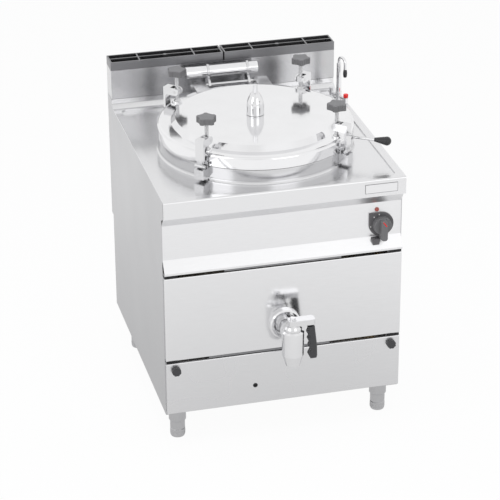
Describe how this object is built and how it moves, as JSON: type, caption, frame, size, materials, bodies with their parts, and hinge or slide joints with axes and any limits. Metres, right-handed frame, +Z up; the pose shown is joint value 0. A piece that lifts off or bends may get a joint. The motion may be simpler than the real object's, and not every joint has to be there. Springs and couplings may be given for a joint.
{
  "type": "steam jacketed kettle",
  "caption": "Free-standing gas heated boiling kettle with a steam jacketed round pan, clamped hinged lid with safety valve, draw-off tap, water tap and rear flue.",
  "frame": {"origin": "on the floor under the axis of the pan, midway between the front of the draw-off valve and the rear of the flue", "axes": "+X to the right seen from the front, +Y from the front to the rear, +Z up"},
  "size_m": [0.8022, 1.02, 1.109],
  "materials": {
    "steel_top": "brushed",
    "steel_side": "brushed",
    "steel_back": "dull",
    "frame_steel": "galvanised",
    "steel_fascia": "brushed",
    "steel_door": "fine polish",
    "steel_lower": "fine polish",
    "steel_flue": "brushed",
    "grille_steel": "dark",
    "pan_steel": "satin",
    "lug_steel": "satin",
    "jacket_steel": "dull",
    "lagging": "fibrous",
    "burner_iron": "rough",
    "chamber_steel": "dull",
    "drain_steel": "polished",
    "flange_chrome": "polished",
    "valve_chrome": "polished",
    "lever_chrome": "polished",
    "grip_black": "satin",
    "lid_steel": "polished",
    "gasket_rubber": "matt",
    "bell_chrome": "polished",
    "rod_steel": "satin",
    "handle_black": "gloss",
    "nut_steel": "machined",
    "hinge_steel": "satin",
    "axle_steel": "machined",
    "tube_steel": "polished",
    "arm_steel": "satin",
    "tap_chrome": "polished",
    "spout_chrome": "polished",
    "nozzle_black": "satin",
    "tap_red": "gloss",
    "tap_blue": "gloss",
    "gas_brass": "dull",
    "bezel_dark": "satin",
    "knob_grey": "satin",
    "lens_red": "clear",
    "button_dark": "satin",
    "leg_steel": "satin",
    "thumb_black": "satin",
    "hook_steel": "cast",
    "screw_steel": "machined",
    "clamp_grey": "satin"
  },
  "bodies": {
    "cabinet": {"worktop": "steel_top", "left_side_panel": "steel_side", "right_side_panel": "steel_side", "back_panel": "steel_back", "base_frame": "frame_steel", "control_fascia": "steel_fascia", "front_panel": "steel_door", "lower_panel": "steel_lower", "flue_upstand": "steel_flue", "flue_grilles": "grille_steel", "kettle_pan": "pan_steel", "catch_lugs": "lug_steel", "steam_jacket": "jacket_steel", "jacket_lagging": "lagging", "burner": "burner_iron", "combustion_chamber": "chamber_steel", "drain_pipe": "drain_steel", "drain_flange": "flange_chrome", "drain_valve_body": "valve_chrome", "hinge_brackets": "hinge_steel", "hinge_axle": "axle_steel", "spring_tube": "tube_steel", "water_tap": "tap_chrome", "gas_train": "gas_brass", "knob_bezel": "bezel_dark", "pilot_light": "lens_red", "leg_sockets": "leg_steel"},
    "lid": {"lid_shell": "lid_steel", "lid_gasket": "gasket_rubber", "lid_arms": "arm_steel", "lid_handle_rod": "rod_steel", "lid_handle_grip": "handle_black", "clamp_nuts": "nut_steel"},
    "safety_bell": {"safety_valve_bell": "bell_chrome"},
    "drain_handle": {"drain_lever": "lever_chrome", "drain_grip": "grip_black"},
    "gas_knob": {"control_knob": "knob_grey"},
    "igniter": {"igniter_button": "button_dark"},
    "spout": {"water_spout": "spout_chrome", "spout_nozzle": "nozzle_black"},
    "hot_knob": {"hot_tap_knob": "tap_red"},
    "cold_knob": {"cold_tap_knob": "tap_blue"},
    "thumb_left": {"thumb_knob_left": "thumb_black"},
    "thumb_right": {"thumb_knob_right": "thumb_black"},
    "clamp_fl": {"clamp_hook_fl": "hook_steel"},
    "screw_fl": {"clamp_screw_fl": "screw_steel", "clamp_knob_fl": "clamp_grey"},
    "toe_fl": {"foot_fl": "leg_steel"},
    "clamp_fr": {"clamp_hook_fr": "hook_steel"},
    "screw_fr": {"clamp_screw_fr": "screw_steel", "clamp_knob_fr": "clamp_grey"},
    "toe_fr": {"foot_fr": "leg_steel"},
    "clamp_rl": {"clamp_hook_rl": "hook_steel"},
    "screw_rl": {"clamp_screw_rl": "screw_steel", "clamp_knob_rl": "clamp_grey"},
    "toe_rl": {"foot_rl": "leg_steel"},
    "clamp_rr": {"clamp_hook_rr": "hook_steel"},
    "screw_rr": {"clamp_screw_rr": "screw_steel", "clamp_knob_rr": "clamp_grey"},
    "toe_rr": {"foot_rr": "leg_steel"}
  },
  "joints": [
    {"name": "lid_hinge", "type": "hinge", "parent": "cabinet", "child": "lid", "pos_m": [0, 0.36, 0.98], "axis": [-1, 0, 0], "range_deg": [0, 80]},
    {"name": "safety_bell_lift", "type": "slide", "parent": "lid", "child": "safety_bell", "axis": [0, 0, 1], "range_m": [0, 0.006]},
    {"name": "drain_handle_turn", "type": "hinge", "parent": "cabinet", "child": "drain_handle", "pos_m": [0, -0.473, 0.44], "axis": [0, 0, -1], "range_deg": [0, 90]},
    {"name": "gas_knob_turn", "type": "hinge", "parent": "cabinet", "child": "gas_knob", "pos_m": [0.33, -0.352, 0.724], "axis": [0, -1, 0], "range_deg": [0, 180]},
    {"name": "igniter_press", "type": "slide", "parent": "cabinet", "child": "igniter", "axis": [0, 1, 0], "range_m": [0, 0.004], "stiffness_N_per_m": 600},
    {"name": "spout_swivel", "type": "hinge", "parent": "cabinet", "child": "spout", "pos_m": [0.38, 0.305, 1.036], "axis": [0, 0, 1], "range_deg": [-150, 20]},
    {"name": "hot_tap_turn", "type": "hinge", "parent": "cabinet", "child": "hot_knob", "pos_m": [0.39367, 0.26529, 0.92], "axis": [0, 0, 1], "range_deg": [0, 720]},
    {"name": "cold_tap_turn", "type": "hinge", "parent": "cabinet", "child": "cold_knob", "pos_m": [0.36633, 0.34471, 0.92], "axis": [0, 0, 1], "range_deg": [0, 720]},
    {"name": "thumb_left_turn", "type": "hinge", "parent": "cabinet", "child": "thumb_left", "pos_m": [-0.367, -0.373, 0.288], "axis": [0, -1, 0], "range_deg": [0, 1080]},
    {"name": "thumb_right_turn", "type": "hinge", "parent": "cabinet", "child": "thumb_right", "pos_m": [0.367, -0.373, 0.288], "axis": [0, -1, 0], "range_deg": [0, 1080]},
    {"name": "clamp_fl_swing", "type": "hinge", "parent": "lid", "child": "clamp_fl", "pos_m": [-0.21637, -0.21637, 1.026], "axis": [-0.7071, 0.7071, 0], "range_deg": [-5, 40]},
    {"name": "screw_fl_turn", "type": "hinge", "parent": "lid", "child": "screw_fl", "pos_m": [-0.21637, -0.21637, 1.026], "axis": [0, 0, -1], "range_deg": [0, 1080]},
    {"name": "foot_fl_extend", "type": "slide", "parent": "cabinet", "child": "toe_fl", "axis": [0, 0, -1], "range_m": [0, 0.03]},
    {"name": "clamp_fr_swing", "type": "hinge", "parent": "lid", "child": "clamp_fr", "pos_m": [0.21637, -0.21637, 1.026], "axis": [-0.7071, -0.7071, 0], "range_deg": [-5, 40]},
    {"name": "screw_fr_turn", "type": "hinge", "parent": "lid", "child": "screw_fr", "pos_m": [0.21637, -0.21637, 1.026], "axis": [0, 0, -1], "range_deg": [0, 1080]},
    {"name": "foot_fr_extend", "type": "slide", "parent": "cabinet", "child": "toe_fr", "axis": [0, 0, -1], "range_m": [0, 0.03]},
    {"name": "clamp_rl_swing", "type": "hinge", "parent": "lid", "child": "clamp_rl", "pos_m": [-0.21637, 0.21637, 1.026], "axis": [0.7071, 0.7071, 0], "range_deg": [-5, 40]},
    {"name": "screw_rl_turn", "type": "hinge", "parent": "lid", "child": "screw_rl", "pos_m": [-0.21637, 0.21637, 1.026], "axis": [0, 0, -1], "range_deg": [0, 1080]},
    {"name": "foot_rl_extend", "type": "slide", "parent": "cabinet", "child": "toe_rl", "axis": [0, 0, -1], "range_m": [0, 0.03]},
    {"name": "clamp_rr_swing", "type": "hinge", "parent": "lid", "child": "clamp_rr", "pos_m": [0.21637, 0.21637, 1.026], "axis": [0.7071, -0.7071, 0], "range_deg": [-5, 40]},
    {"name": "screw_rr_turn", "type": "hinge", "parent": "lid", "child": "screw_rr", "pos_m": [0.21637, 0.21637, 1.026], "axis": [0, 0, -1], "range_deg": [0, 1080]},
    {"name": "foot_rr_extend", "type": "slide", "parent": "cabinet", "child": "toe_rr", "axis": [0, 0, -1], "range_m": [0, 0.03]}
  ]
}
